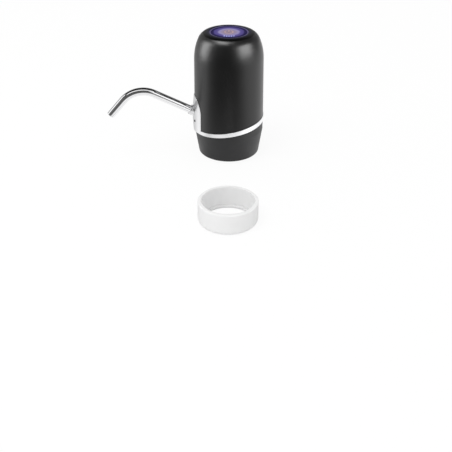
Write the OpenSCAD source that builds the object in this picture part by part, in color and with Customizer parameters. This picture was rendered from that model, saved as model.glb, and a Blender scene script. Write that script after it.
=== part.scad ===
// Rechargeable water jug pump: a body that sits on a bottle neck, with a swivelling spout,
// a press button on top and a loose adapter ring for narrower necks.
// Millimetres, +Z up, the neck axis on Z, the spout towards -X, the foot on z = 0.

/* [Body] */
// Outside diameter of the upper shell at its lower rim
body_d = 73.2; // [68:0.1:86]
// Height from the foot to the top of the shell
body_h = 131.3; // [128:0.1:160]
// Wall of the upper shell
shell_wall = 2.2; // [1.6:0.1:3]
// Radius of the long shoulder curve
shoulder_r = 51.4; // [40:0.1:70]
// Angle that the wall has turned through where the tight curve starts
shoulder_turn = 24.1; // [18:0.1:34]
// Radius of the tight curve at the top edge
top_edge_r = 11.4; // [7:0.1:13]
// Draft angle of the wall
wall_draft = 0.7; // [0:0.05:1.5]
// Gap at the seams between base, band and shell
seam_gap = 0.1; // [0.05:0.05:0.4]

/* [Base] */
// Outside diameter of the foot
foot_d = 64; // [60:0.1:68]
// Rounding of the foot's outer edge
foot_round = 2.8; // [0.8:0.1:3]
// Height at which the base's taper ends
taper_h = 27; // [20:0.5:30]
// How far the base stays inside the shell's rim over the taper
base_inset = 0.3; // [0:0.1:1]
// Bore that takes the bottle neck
neck_d = 56.8; // [50:0.1:57.4]
// Depth of the neck bore
neck_depth = 16; // [12:0.5:20]
// Wall of the spigot that carries the band and the shell
spigot_wall = 2; // [1.5:0.1:2.6]
// Height of the spigot's rim
spigot_top = 48; // [46:0.5:50]
// Thickness of the shelf over the neck bore
shelf_t = 3.5; // [3:0.1:5]
// Radius of the raised centre of the shelf
hat_r = 21; // [19:0.1:22]
// Height of the raised centre over the shelf
hat_h = 10; // [8:0.5:11]
// Wall of the raised centre
hat_wall = 2; // [1.6:0.1:3]
// Thickness of the neck gasket
gasket_h = 2.5; // [1.5:0.1:3.5]
// Width of the neck gasket
gasket_w = 6.9; // [5:0.1:7.4]

/* [Trim band] */
// Height of the band's upper edge on the axis
band_top = 36.8; // [35:0.1:39]
// Rise of the upper edge per millimetre towards the back
band_top_slope = 0.166; // [0.1:0.001:0.2]
// Height of the band's lower edge on the axis
band_low = 32.2; // [30:0.1:33]
// Rise of the lower edge per millimetre towards the back
band_low_slope = 0.143; // [0.08:0.001:0.16]
// How far the band stands out past the shell
band_proud = 0.35; // [0.1:0.05:0.8]
// Half width of the arched plate round the spout
plate_half_w = 16.5; // [12:0.1:18]
// Height of the plate's arched top
plate_top = 66.2; // [58:0.1:72]
// How far the middle of the plate's domed face stands out past the shell
plate_proud = 2; // [0.6:0.05:2.4]
// Radius of that face across the plate
plate_face_r = 27.5; // [24:0.5:32]
// Radius of that face up the plate
plate_crown_r = 170; // [120:5:240]
// Height at which the face stands out most
plate_crown_z = 42; // [38:0.5:50]
// Height of the charge indicator on the plate
indicator_z = 39.5; // [35:0.1:41]
// Angle from the spout's plane to the charge indicator
indicator_turn = 10; // [0:0.5:14]
// Diameter of the charge indicator
indicator_d = 2.4; // [1.4:0.1:2.8]

/* [Spout] */
// Outside diameter of the spout tube
spout_d = 8; // [7:0.1:8.6]
// Wall of the spout tube
spout_wall = 0.7; // [0.4:0.05:1]
// Height at which the spout leaves the body
spout_z = 47.6; // [45:0.1:50]
// Angle at which the spout rises
spout_rise = 28.4; // [22:0.1:34]
// Straight run from the body to the bend
spout_run = 47.9; // [35:0.1:65]
// Bend radius on the centre line
spout_bend_r = 26.8; // [20:0.1:36]
// Angle of the bend
spout_bend = 76.4; // [60:0.1:100]
// Straight run after the bend
spout_end = 20.3; // [10:0.1:30]
// Length of the collar at the body
collar_l = 5.4; // [5:0.1:7]

/* [Button] */
// Diameter of the button
button_d = 37; // [34:0.1:38]
// Travel of the button
button_travel = 0.8; // [0.5:0.05:1]
// Width of the light ring round the button
light_ring_w = 1; // [0.8:0.05:1.3]
// Wire diameter of the button spring
spring_wire = 0.9; // [0.6:0.05:1.1]
// Mean diameter of the button spring
spring_d = 22; // [18:0.5:26]
// Turns of the button spring
spring_turns = 3; // [2:0.5:3.5]

/* [Pump] */
// Gear module
gear_module = 1; // [0.9:0.01:1.05]
// Teeth on each gear
gear_teeth = 12; // [12:1:13]
// Height of the gears
gear_h = 7.7; // [6:0.1:9]
// Play between the gear tips and the chamber
chamber_play = 0.3; // [0.2:0.05:0.5]
// Wall round the gear chamber
chamber_wall = 3.3; // [2.6:0.1:3.4]
// Thickness of the pump cover
cover_t = 4; // [3:0.1:5]
// Diameter of the hose nipples
nipple_d = 5; // [4:0.1:5.4]
// Wall of the hoses
hose_wall = 1.45; // [1:0.05:1.7]
// Diameter of the barb for the suction hose
suction_d = 9; // [8.6:0.1:10]

/* [Drive and power] */
// Diameter of the motor
motor_d = 24.4; // [22:0.1:25]
// Length of the motor can
motor_l = 20; // [18:0.5:32]
// Diameter of the battery cell
cell_d = 18.4; // [17:0.1:19]
// Length of the battery cell
cell_l = 65; // [60:0.5:70]
// Height of the chassis posts over the shelf
post_h = 35; // [33:0.5:37]
// Thickness of the chassis plate
chassis_t = 4; // [3:0.1:5]

/* [Adapter ring] */
// Outside diameter, which fits the neck bore
ring_d = 56.4; // [50:0.1:56.4]
// Height of the ring
ring_h = 21.5; // [18:0.1:26]
// Bore for the narrower neck
ring_bore_d = 49.4; // [46:0.1:50.4]
// Depth of that bore
ring_bore_depth = 19; // [14:0.1:20]
// Hole in the stop lip
ring_hole_d = 45.4; // [40:0.1:47]
// Rounding of the lower outer edge
ring_round = 4; // [2:0.1:5]
// Where the loose ring lies, across
ring_x = -27; // [-40:0.5:-10]
// Where the loose ring lies, in front
ring_y = -146.5; // [-180:0.5:-110]

/* [Hidden] */
$fn = 96;

// Clearances
slip = 0.05;
close_gap = 0.2;
free_gap = 0.4;
eps = 0.01;

// Body: the wall leans in from its rim and runs into the shoulder curve
body_r = body_d / 2;
far = 2 * body_h;
function wall_r(z) = body_r - (z - band_top) * tan(wall_draft);
function shell_in_r(z) = wall_r(z) - shell_wall / cos(wall_draft);
shoulder_z = body_h - top_edge_r - (shoulder_r - top_edge_r) * sin(shoulder_turn);
touch_z = shoulder_z + shoulder_r * sin(wall_draft);
shoulder_c = [wall_r(touch_z) - shoulder_r * cos(wall_draft), shoulder_z];
edge_c = shoulder_c + (shoulder_r - top_edge_r) * [cos(shoulder_turn), sin(shoulder_turn)];
spigot_r = shell_in_r(spigot_top) - free_gap;
spigot_in_r = spigot_r - spigot_wall;
lug_down = 4;
lug_z = spigot_top - lug_down;
lug_h = 2;
lug_depth = 0.5;
lug_arc = 24;
lug_play = 0.3;
notch_drop = 5;

// Base levels
neck_r = neck_d / 2;
gasket_in = 1;
gasket_r = neck_r - gasket_in;
gasket_top = neck_depth + gasket_h;
shelf_top = gasket_top + shelf_t;
deck_top = shelf_top + hat_h;
deck_t = 3;
chassis_z = shelf_top + post_h;
chassis_top = chassis_z + chassis_t;
screw_r = 1;
screw_head_r = 1.9;
screw_head_h = 1.6;
screw_slot = 0.5;
screw_grip = 6;
head_play = 0.3;
chassis_post_r = 3.2;
chassis_post_in = 5.4;
sleeve_wall = 1.5;
sleeve_h = 18;
chassis_play = 1.4;
sleeve_play = 0.3;
hose_play = 0.6;
board_room = 3;

// Pump: two gears side by side, with the mesh in line with the spout
gear_pitch_r = gear_module * gear_teeth / 2;
gear_centres = 2 * gear_pitch_r + 0.1 * gear_module;
gear_tip_r = gear_pitch_r + 0.9 * gear_module;
gear_root_r = gear_pitch_r - 1.25 * gear_module;
gear_thinning = 0.09;
gear_pressure = 20;
gear_play = 0.1;
mesh_x = -4;
drive_y = -gear_centres / 2;
idle_y = gear_centres / 2;
pump_z = chassis_top + cover_t;
chamber_h = gear_h + 2 * gear_play;
pump_roof = 3.1;
pump_top = pump_z + chamber_h + pump_roof;
chamber_r = gear_tip_r + chamber_play;
pump_r = chamber_r + chamber_wall;
ear_r = 2.6;
ear_out = 0.1;
ear_offset = pump_r * cos(45) + ear_out;
port_r = 2.2;
shaft_r = 1;
idler_r = 1.5;
seal_r = 3;
seal_h = 2.2;
shaft_seat = 2;

// Hoses and nipples
nipple_r = nipple_d / 2;
nipple_bore_r = 0.64 * nipple_r;
hose_in_r = nipple_r + slip;
hose_r = hose_in_r + hose_wall;
hose_curl = 1;
hose_bend_r = hose_r + hose_curl;
outlet_lift = 0.5;
outlet_z = pump_z + chamber_h / 2 + outlet_lift;
outlet_x = mesh_x - pump_r;
inlet_drop = 11;
suction_r = suction_d / 2;
suction_l = 10;
stem_step = 0.6;
inlet_stem_r = suction_r + stem_step;
barb_l = 10;
flange_t = 2;
flange_r = 7;

// Motor
motor_r = motor_d / 2;
motor_wall = 1;
motor_top = pump_top + motor_l;
bell_t = 3.5;
bell_in = 1.5;
magnet_t = 1.5;
magnet_l = 0.74 * motor_l;
bush_r = 3;
bush_h = 3;
winding_l = 2;
commutator_l = 3.4;
core_end_play = 0.6;
core_z = pump_top + bush_h + winding_l + core_end_play;
core_l = motor_top - bell_in - winding_l - commutator_l - core_z;
core_play = 0.7;
core_r = motor_r - motor_wall - magnet_t - core_play;
terminal_h = 2.5;
terminal_w = 2.8;
terminal_t = 1;
terminal_dx = 7;

// Battery and charging
cell_r = cell_d / 2;
cell_at = [17, 8];
cell_rim = 0.5;
cell_tip = 1;
cell_step = 0.6;
cell_z = deck_top + close_gap;
charge_z = 57;
charge_board_w = 13;
charge_board_h = 14;
charge_board_t = 1.6;
charge_board_in = 5.4;
charge_board_x = shell_in_r(charge_z) - charge_board_in;
usb_w = 7.6;
usb_h = 2.8;
usb_sink = 1.5;
usb_x = wall_r(charge_z) - usb_sink;
usb_wall = 0.35;
pad_r = 1.3;
pad_in = 1.5;

// Spout socket, along the spout's own axis
spout_r = spout_d / 2;
socket_wall = 2.8;
socket_r = spout_r + socket_wall;
socket_deep = 17;
tube_deep = 11;
swivel_play = 0.06;
socket_bore_r = spout_r + swivel_play;
seal_wire_r = 0.6;
seal_at = [-9.4, -7.4];
neck_wall = 1;
neck_tube_r = spout_r + neck_wall;
barb_at = -13.3;
barb_x = -body_r - barb_at * cos(spout_rise);
barb_axis_z = spout_z + barb_at * sin(spout_rise);
barb_drop = 4.5;
barb_top = outlet_z - hose_bend_r - barb_drop;
hose_low = barb_axis_z + (socket_r + hose_r * sin(spout_rise)) / cos(spout_rise) + close_gap;

// Top: control board, switch, button and light ring
board_drop = 12.2;
board_top = body_h - board_drop;
board_t = 1.6;
board_r = 27;
boss_at_r = 24;
boss_r = 2.4;
boss_hole = 6;
boss_angles = [30, 150, 270];
button_r = button_d / 2;
button_play = 0.25;
light_in_r = button_r + button_play;
light_r = light_in_r + light_ring_w;
light_play = 0.15;
top_hole_r = light_r + light_play;
top_in_z = body_h - shell_wall;
light_drop = 1.6;
light_low = top_in_z - light_drop;
light_flange_w = 1.2;
light_flange_r = light_r + light_flange_w;
function shell_in_z(r) = edge_c[1] + sqrt(pow(top_edge_r - shell_wall, 2) - pow(max(r - edge_c[0], 0), 2));
light_sink = 0.3;
light_top = body_h - light_sink;
light_flange_top = shell_in_z(light_flange_r) - 2 * slip;
leg_r = 0.7;
leg_out = 0.8;
leg_at_r = light_r + leg_out;
leg_angles = [90, 210, 330];
led_angles = [for (i = [0:5]) 60 * i];
button_sink = 0.4;
button_top = body_h - button_sink;
button_t = 2.4;
flange_play = 0.3;
flange_top = light_low - flange_play;
button_flange_t = 1.2;
skirt_wall = 1.5;
cap_edge = 0.4;
sign_groove_in = 1.4;
sign_groove_r = button_r - sign_groove_in;
sign_groove_w = 0.3;
sign_groove_d = 0.25;
switch_w = 6;
switch_h = 3.5;
plunger_r = 1.7;
plunger_seat = 0.7;
plunger_low = board_top + plunger_seat + button_travel;
plunger_out = 2.3;
plunger_top = board_top + switch_h + plunger_out;
post_r = 2.4;
spring_low = board_top + spring_wire / 2 + slip;
spring_high = button_top - button_t - spring_wire / 2 - slip;

// Lead routes, in the gaps between the motor, the cell and the shell
lead_r = 0.7;
lead_sides = 8;
lead_pair = 2;
lead_reach = 4;
lead_slack = 12;
board_low = board_top - board_t;
bell_top = motor_top + bell_t + terminal_h;
cell_top = cell_z + cell_l;

// Half spaces under and over a plane that rises towards +X
module under(z, slope) {
    translate([0, 0, z])
        rotate([0, -atan(slope), 0])
            translate([-far, -far, -2 * far])
                cube([2 * far, 2 * far, 2 * far]);
}

module over(z, slope) {
    translate([0, 0, z])
        rotate([0, -atan(slope), 0])
            translate([-far, -far, 0])
                cube([2 * far, 2 * far, 2 * far]);
}

module tube(r, in_r, h) {
    difference() {
        cylinder(r = r, h = h);
        translate([0, 0, -1])
            cylinder(r = in_r, h = h + 2);
    }
}

// Frame of the spout: its axis is local Z, leaving the body at local 0
module at_spout() {
    translate([-body_r, 0, spout_z])
        rotate([0, spout_rise - 90, 0])
            children();
}

// Hose nipple along Z with three raised lands
module nipple(r, l) {
    land = l / 3;
    cylinder(r = r - 0.25, h = l - land / 2);
    for (i = [0:2]) {
        translate([0, 0, i * land + land * 0.4])
            cylinder(r = r, h = land * 0.35);
        translate([0, 0, i * land + land * 0.75])
            cylinder(r1 = r, r2 = r - 0.25, h = land * 0.25);
    }
}

// Half profile of the shell, drawn in by off: leaning wall, long shoulder curve, tight top edge.
// The wall's core reaches up into the shoulder's, so that the two make one piece.
module dome_profile(off) {
    ray = 2 * shoulder_r;
    lean = [cos(wall_draft), sin(wall_draft)];
    turned = [cos(shoulder_turn), sin(shoulder_turn)];
    lean_z = shoulder_z - shoulder_c[0] * tan(wall_draft);
    turned_z = shoulder_z - shoulder_c[0] * tan(shoulder_turn);
    polygon([
        [0, 0], [wall_r(0) - off / cos(wall_draft), 0],
        shoulder_c + (shoulder_r - off) * lean, [0, lean_z + top_edge_r]
    ]);
    intersection() {
        translate(shoulder_c)
            circle(r = shoulder_r - off);
        polygon([[0, lean_z], shoulder_c + ray * lean, shoulder_c + ray * turned, [0, turned_z]]);
    }
    intersection() {
        translate(edge_c)
            circle(r = top_edge_r - off);
        polygon([edge_c, edge_c + ray * turned, [edge_c[0], edge_c[1] + ray]]);
    }
    polygon([[0, turned_z], edge_c, [edge_c[0], body_h - off], [0, body_h - off]]);
}

module dome(off) {
    rotate_extrude()
        dome_profile(off);
}

// Half profile of the base: a rounded foot, a taper and a straight rim
module base_profile() {
    foot_r = foot_d / 2;
    rim_z = band_low + body_r * band_low_slope;
    rim_r = body_r - base_inset;
    lean = atan((rim_r - foot_r) / taper_h);
    arc_c = [foot_r - foot_round * (1 - sin(lean)) / cos(lean), foot_round];
    steps = 6;
    polygon(concat(
        [[0, 0]],
        [for (i = [0:steps])
            let (a = i * (90 - lean) / steps)
            arc_c + foot_round * [sin(a), -cos(a)]],
        [[rim_r, taper_h], [rim_r, rim_z], [0, rim_z]]
    ));
}

module base() {
    color("#4a4b4e")
        difference() {
            union() {
                intersection() {
                    rotate_extrude()
                        base_profile();
                    under(band_low - seam_gap, band_low_slope);
                }
                translate([0, 0, gasket_top])
                    cylinder(r = spigot_r, h = spigot_top - gasket_top);
                snap_lugs();
            }
            translate([0, 0, -1])
                cylinder(r = neck_r, h = neck_depth + 1);
            cylinder(r = gasket_r, h = gasket_top);
            cylinder(r = hat_r - hat_wall, h = deck_top - deck_t);
            cylinder(r = inlet_stem_r + slip, h = deck_top + 1);
            difference() {
                translate([0, 0, shelf_top])
                    cylinder(r = spigot_in_r, h = far);
                cylinder(r = hat_r, h = deck_top);
            }
            spigot_notch();
            at_posts() {
                translate([0, 0, -1])
                    cylinder(r = screw_r + slip, h = shelf_top + 2);
                translate([0, 0, gasket_top - eps])
                    cylinder(r = screw_head_r + head_play, h = screw_head_h + close_gap + eps);
            }
        }
}

module snap_lugs() {
    for (a = [45, 135, 225, 315])
        rotate([0, 0, a - lug_arc / 2])
            rotate_extrude(angle = lug_arc)
                translate([0, lug_z])
                    polygon([
                        [spigot_in_r + lug_depth, 0], [spigot_r + free_gap + lug_play / 2, 0],
                        [spigot_r, lug_h], [spigot_in_r + lug_depth, lug_h]
                    ]);
}

// Gap in the spigot that lets the spout socket through
module spigot_notch() {
    half = socket_r + 2 * free_gap;
    low = spout_z - socket_r / cos(spout_rise) - notch_drop;
    translate([-far, -half, low])
        cube([far - hat_r, 2 * half, far]);
}

// Places of the chassis posts, clear of the socket, the cell and the pump
module at_posts() {
    for (a = [120, 240, 285])
        rotate([0, 0, a])
            translate([spigot_in_r - chassis_post_in, 0, 0])
                children();
}

module trim_band() {
    color("#e6e7ea")
        difference() {
            union() {
                intersection() {
                    difference() {
                        dome(-band_proud);
                        cylinder(r = spigot_r + close_gap, h = far);
                    }
                    under(band_top, band_top_slope);
                    over(band_low, band_low_slope);
                }
                intersection() {
                    difference() {
                        union() {
                            dome(-band_proud);
                            plate_face(0);
                        }
                        dome(-seam_gap);
                    }
                    arch_block();
                    over(band_low, band_low_slope);
                }
            }
            at_spout()
                cylinder(r = neck_tube_r + seam_gap, h = far, center = true);
            indicator_hole();
        }
}

// Domed face of the plate, filled in behind
module plate_face(off) {
    axis_x = wall_r(plate_crown_z) + plate_proud - plate_face_r;
    translate([-axis_x, 0, 0])
        rotate_extrude()
            intersection() {
                translate([plate_face_r - plate_crown_r, plate_crown_z])
                    circle(r = plate_crown_r + off, $fn = 360);
                square([plate_crown_r, plate_crown_z + plate_top]);
            }
}

// Arched outline of the plate, drawn out along -X
module arch_block() {
    rotate([90, 0, -90])
        linear_extrude(height = far) {
            translate([0, plate_top - plate_half_w])
                circle(r = plate_half_w);
            translate([-plate_half_w, 0])
                square([2 * plate_half_w, plate_top - plate_half_w]);
        }
}

module indicator_hole() {
    rotate([0, 0, indicator_turn])
        translate([-far, 0, indicator_z])
            rotate([0, 90, 0])
                cylinder(r = indicator_d / 2 + slip, h = far);
}

module upper_shell() {
    color("#1d1e21")
        difference() {
            union() {
                intersection() {
                    difference() {
                        dome(0);
                        dome(shell_wall);
                    }
                    over(band_top + seam_gap, band_top_slope);
                }
                intersection() {
                    board_bosses();
                    dome(shell_wall / 2);
                }
                intersection() {
                    charge_pads();
                    dome(shell_wall / 2);
                }
            }
            translate([0, 0, edge_c[1]])
                cylinder(r = top_hole_r, h = far);
            at_spout()
                translate([0, 0, -socket_deep])
                    cylinder(r = neck_tube_r + seam_gap, h = far);
            indicator_hole();
            translate([usb_x - 2 * shell_wall, -usb_w / 2 - free_gap, charge_z - usb_h / 2 - free_gap])
                cube([far, usb_w + 2 * free_gap, usb_h + 2 * free_gap]);
            translate([0, 0, lug_z - lug_play])
                cylinder(r = shell_in_r(lug_z) + lug_depth, h = lug_h + 2 * lug_play);
            at_bosses()
                translate([0, 0, board_top - 1])
                    cylinder(r = screw_r + slip, h = boss_hole + 1);
        }
}

module at_bosses() {
    for (a = boss_angles)
        rotate([0, 0, a])
            translate([boss_at_r, 0, 0])
                children();
}

module board_bosses() {
    at_bosses()
        translate([0, 0, board_top])
            cylinder(r = boss_r, h = far);
}

// Four pads that the charge board is fixed to
module charge_pads() {
    for (y = [-1, 1], z = [-1, 1])
        translate([
            charge_board_x + charge_board_t,
            y * (charge_board_w / 2 - pad_in),
            charge_z + z * (charge_board_h / 2 - pad_in)
        ])
            rotate([0, 90, 0])
                cylinder(r = pad_r, h = far);
}

module neck_gasket() {
    color("#d9d9d4")
        translate([0, 0, neck_depth])
            tube(gasket_r - 2 * slip, gasket_r - 2 * slip - gasket_w, gasket_h);
}

module inlet_fitting() {
    barb_root = deck_top - deck_t - close_gap;
    color("#ececea")
        difference() {
            union() {
                translate([0, 0, barb_root - suction_l])
                    suction_barb();
                translate([0, 0, barb_root])
                    cylinder(r = inlet_stem_r, h = deck_t + close_gap);
                translate([0, 0, deck_top])
                    cylinder(r = flange_r, h = flange_t);
                translate([0, 0, deck_top + flange_t])
                    nipple(nipple_r, barb_l);
            }
            cylinder(r = nipple_bore_r, h = far);
        }
}

// Plain barb for the suction hose, with two grip grooves and a chamfered tip
module suction_barb() {
    tip = 0.5;
    groove = 0.3;
    difference() {
        union() {
            cylinder(r1 = suction_r - tip, r2 = suction_r, h = tip);
            translate([0, 0, tip])
                cylinder(r = suction_r, h = suction_l - tip);
        }
        for (z = [0.35, 0.65])
            translate([0, 0, z * suction_l])
                tube(suction_r + 1, suction_r - groove, 2 * groove);
    }
}

module link_hose() {
    low = deck_top + flange_t + slip;
    color("#dfe3e4")
        translate([0, 0, low])
            tube(hose_r, hose_in_r, chassis_z - free_gap - low);
}

module delivery_hose() {
    bend_x = barb_x + hose_bend_r;
    start_x = outlet_x - close_gap;
    color("#dfe3e4") {
        translate([bend_x, 0, outlet_z])
            rotate([0, 90, 0])
                tube(hose_r, hose_in_r, start_x - bend_x);
        translate([bend_x, 0, outlet_z - hose_bend_r])
            rotate([90, 0, 0])
                rotate([0, 0, 90])
                    rotate_extrude(angle = 90)
                        translate([hose_bend_r, 0])
                            difference() {
                                circle(r = hose_r);
                                circle(r = hose_in_r);
                            }
        translate([barb_x, 0, hose_low])
            tube(hose_r, hose_in_r, outlet_z - hose_bend_r - hose_low);
    }
}

module at_drive() {
    translate([mesh_x, drive_y, 0])
        children();
}

module at_idler() {
    translate([mesh_x, idle_y, 0])
        children();
}

// Four screw places round the pump
module at_ears() {
    for (x = [-1, 1], y = [-1, 1])
        translate([mesh_x + x * ear_offset, y * (idle_y + ear_offset), 0])
            children();
}

// Outline of the pump, with ears for its screws
module pump_outline() {
    for (y = [drive_y, idle_y])
        translate([mesh_x, y])
            circle(r = pump_r);
    translate([mesh_x - pump_r, drive_y])
        square([2 * pump_r, gear_centres]);
    at_ears()
        circle(r = ear_r);
}

module chassis() {
    sleeve_r = cell_r + sleeve_play;
    chassis_r = spigot_in_r - chassis_play;
    notch_y = cell_at[1] * (1 + sleeve_r / norm(cell_at));
    color("#c9cbcc")
        difference() {
            union() {
                translate([0, 0, chassis_z])
                    cylinder(r = chassis_r, h = chassis_t);
                at_posts()
                    translate([0, 0, shelf_top])
                        cylinder(r = chassis_post_r, h = post_h + chassis_t / 2);
                translate([cell_at[0], cell_at[1], chassis_z])
                    rotate([0, 0, 35])
                        rotate_extrude(angle = 100)
                            translate([sleeve_r, 0])
                                square([sleeve_wall, chassis_t + sleeve_h]);
            }
            translate([cell_at[0], cell_at[1], 0])
                cylinder(r = sleeve_r, h = far);
            translate([charge_board_x - board_room, -far, chassis_z - 1])
                cube([far, far + notch_y, chassis_t + 2]);
            cylinder(r = nipple_r + sleeve_play, h = far);
            translate([barb_x, 0, chassis_z - 1])
                cylinder(r = hose_r + hose_play, h = chassis_t + 2);
            translate([-far + barb_x, -hose_r - hose_play, chassis_z - 1])
                cube([far, 2 * (hose_r + hose_play), chassis_t + 2]);
            at_ears()
                translate([0, 0, chassis_z - 1])
                    cylinder(r = screw_r + slip, h = chassis_t + 2);
            at_posts()
                cylinder(r = screw_r + slip, h = shelf_top + 2 * screw_grip);
        }
}

module screw(l) {
    cylinder(r = screw_r, h = l);
    difference() {
        translate([0, 0, -screw_head_h])
            cylinder(r = screw_head_r, h = screw_head_h);
        for (a = [0, 90])
            rotate([0, 0, a])
                translate([-screw_head_r, -screw_slot / 2, -screw_head_h - 1])
                    cube([2 * screw_head_r, screw_slot, 1 + screw_head_h / 2]);
    }
}

module chassis_screws() {
    color("#a9abad")
        at_posts()
            translate([0, 0, gasket_top + screw_head_h + close_gap])
                screw(shelf_t - screw_head_h + screw_grip);
}

module pump_cover() {
    color("#3f6f8f")
        difference() {
            union() {
                translate([0, 0, chassis_top])
                    linear_extrude(height = cover_t)
                        pump_outline();
                translate([0, 0, chassis_top])
                    mirror([0, 0, 1])
                        cylinder(r = nipple_r, h = chassis_t + free_gap);
                translate([0, 0, chassis_z - free_gap])
                    mirror([0, 0, 1])
                        nipple(nipple_r, inlet_drop);
            }
            cylinder(r = nipple_bore_r, h = far);
            translate([0, 0, pump_z - shaft_seat]) {
                at_drive()
                    cylinder(r = shaft_r + slip, h = shaft_seat + 1);
                at_idler()
                    cylinder(r = idler_r + slip, h = shaft_seat + 1);
            }
            at_ears()
                cylinder(r = screw_r + slip, h = far);
        }
}

module pump_body() {
    color("#47789a")
        difference() {
            union() {
                translate([0, 0, pump_z])
                    linear_extrude(height = pump_top - pump_z)
                        pump_outline();
                translate([outlet_x + 1, 0, outlet_z])
                    rotate([0, -90, 0])
                        cylinder(r = nipple_r, h = outlet_x + 1 - barb_x - hose_bend_r - close_gap);
            }
            translate([0, 0, pump_z - 1])
                linear_extrude(height = chamber_h + 1) {
                    for (y = [drive_y, idle_y])
                        translate([mesh_x, y])
                            circle(r = chamber_r);
                    translate([mesh_x - chamber_r, -port_r])
                        square([chamber_r - mesh_x + nipple_bore_r, 2 * port_r]);
                }
            translate([mesh_x, 0, outlet_z])
                rotate([0, -90, 0])
                    cylinder(r = nipple_bore_r, h = far);
            at_drive()
                translate([0, 0, pump_top - seal_h]) {
                    cylinder(r = seal_r + slip, h = seal_h + 1);
                    translate([0, 0, -pump_roof])
                        cylinder(r = shaft_r + 0.15, h = pump_roof + 1);
                }
            at_idler()
                translate([0, 0, pump_top - pump_roof - 1])
                    cylinder(r = idler_r + slip, h = shaft_seat + 1);
            at_ears()
                translate([0, 0, pump_z - 1])
                    cylinder(r = screw_r + slip, h = chamber_h + 1);
        }
}

module pump_screws() {
    color("#a9abad")
        at_ears()
            translate([0, 0, chassis_z])
                screw(chassis_t + cover_t + screw_grip);
}

module idler_pin() {
    color("#b4b7ba")
        at_idler()
            translate([0, 0, pump_z - shaft_seat + close_gap])
                cylinder(r = idler_r, h = chamber_h + 2 * (shaft_seat - close_gap));
}

module shaft_seal() {
    color("#26272a")
        at_drive()
            translate([0, 0, pump_top - seal_h])
                tube(seal_r, shaft_r + slip, seal_h);
}

function involute(a) = tan(a) - a * PI / 180;

// Half angle of a tooth at radius r
function tooth_half(r) =
    let (base_r = gear_pitch_r * cos(gear_pressure))
    let (thin = gear_thinning / gear_pitch_r * 180 / PI)
    90 / gear_teeth - thin
        + (involute(gear_pressure) - involute(acos(base_r / max(r, base_r)))) * 180 / PI;

module gear(bore_r) {
    base_r = gear_pitch_r * cos(gear_pressure);
    steps = 4;
    flank = [for (i = [0:steps]) base_r + (gear_tip_r - base_r) * i / steps];
    radii = concat([gear_root_r], flank);
    points = [
        for (t = [0:gear_teeth - 1])
            each concat(
                [for (r = radii) let (a = 90 + t * 360 / gear_teeth - tooth_half(r)) r * [cos(a), sin(a)]],
                [for (i = [len(radii) - 1:-1:0])
                    let (r = radii[i])
                    let (a = 90 + t * 360 / gear_teeth + tooth_half(r))
                    r * [cos(a), sin(a)]]
            )
    ];
    difference() {
        linear_extrude(height = gear_h)
            polygon(points);
        translate([0, 0, -1])
            cylinder(r = bore_r, h = gear_h + 2);
    }
}

module drive_gear() {
    color("#e9e4d2")
        at_drive()
            translate([0, 0, pump_z + gear_play])
                gear(shaft_r + 0.02);
}

module driven_gear() {
    color("#e9e4d2")
        at_idler()
            translate([0, 0, pump_z + gear_play])
                rotate([0, 0, 180 + 180 / gear_teeth])
                    gear(idler_r + slip);
}

module motor_can() {
    color("#b9bcc0")
        at_drive()
            difference() {
                translate([0, 0, pump_top])
                    cylinder(r = motor_r, h = motor_l);
                translate([0, 0, pump_top + motor_wall])
                    cylinder(r = motor_r - motor_wall, h = motor_l);
                translate([0, 0, pump_top - 1])
                    cylinder(r = bush_r + slip, h = bush_h + 1);
            }
}

module motor_end_bell() {
    color("#2b2c30")
        at_drive()
            difference() {
                union() {
                    translate([0, 0, motor_top])
                        cylinder(r = motor_r, h = bell_t);
                    translate([0, 0, motor_top - bell_in])
                        cylinder(r = motor_r - motor_wall - slip, h = bell_in + eps);
                    for (x = [-1, 1])
                        translate([x * terminal_dx, 0, motor_top + bell_t - eps])
                            translate([-terminal_w / 2, -terminal_t / 2, 0])
                                cube([terminal_w, terminal_t, terminal_h + eps]);
                }
                translate([0, 0, motor_top - bell_in - 1])
                    cylinder(r = bush_r + slip, h = bush_h + bell_in + 0.5);
                translate([0, 0, motor_top])
                    cylinder(r = shaft_r + 0.3, h = bell_t + 1);
            }
}

module motor_magnets() {
    r = motor_r - motor_wall - slip;
    color("#5a5c60")
        at_drive()
            for (a = [-60, 120])
                rotate([0, 0, a])
                    translate([0, 0, core_z - (magnet_l - core_l) / 2])
                        rotate_extrude(angle = 120)
                            translate([r - magnet_t, 0])
                                square([magnet_t, magnet_l]);
}

module motor_bushes() {
    color("#b08a4f")
        at_drive() {
            translate([0, 0, pump_top + eps])
                tube(bush_r, shaft_r + 0.03, bush_h);
            translate([0, 0, motor_top - 0.5])
                tube(bush_r, shaft_r + 0.03, bush_h - 0.1);
        }
}

module motor_shaft() {
    color("#c8cbce")
        at_drive()
            translate([0, 0, pump_z - shaft_seat + close_gap])
                cylinder(r = shaft_r, h = motor_top - pump_z + shaft_seat - close_gap + bell_t / 2);
}

// Three-pole core with its windings and the commutator
module armature() {
    color("#b0642f")
        at_drive()
            difference() {
                union() {
                    translate([0, 0, core_z])
                        linear_extrude(height = core_l)
                            difference() {
                                circle(r = core_r);
                                for (a = [60, 180, 300])
                                    rotate(a)
                                        translate([core_r * 0.62, -1.1])
                                            square([core_r, 2.2]);
                            }
                    translate([0, 0, core_z - winding_l])
                        cylinder(r = core_r - 0.8 * winding_l, h = core_l + 2 * winding_l);
                    translate([0, 0, core_z])
                        cylinder(r = bush_r, h = core_l + winding_l + commutator_l);
                }
                translate([0, 0, pump_top])
                    cylinder(r = shaft_r + 0.02, h = far);
            }
}

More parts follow.
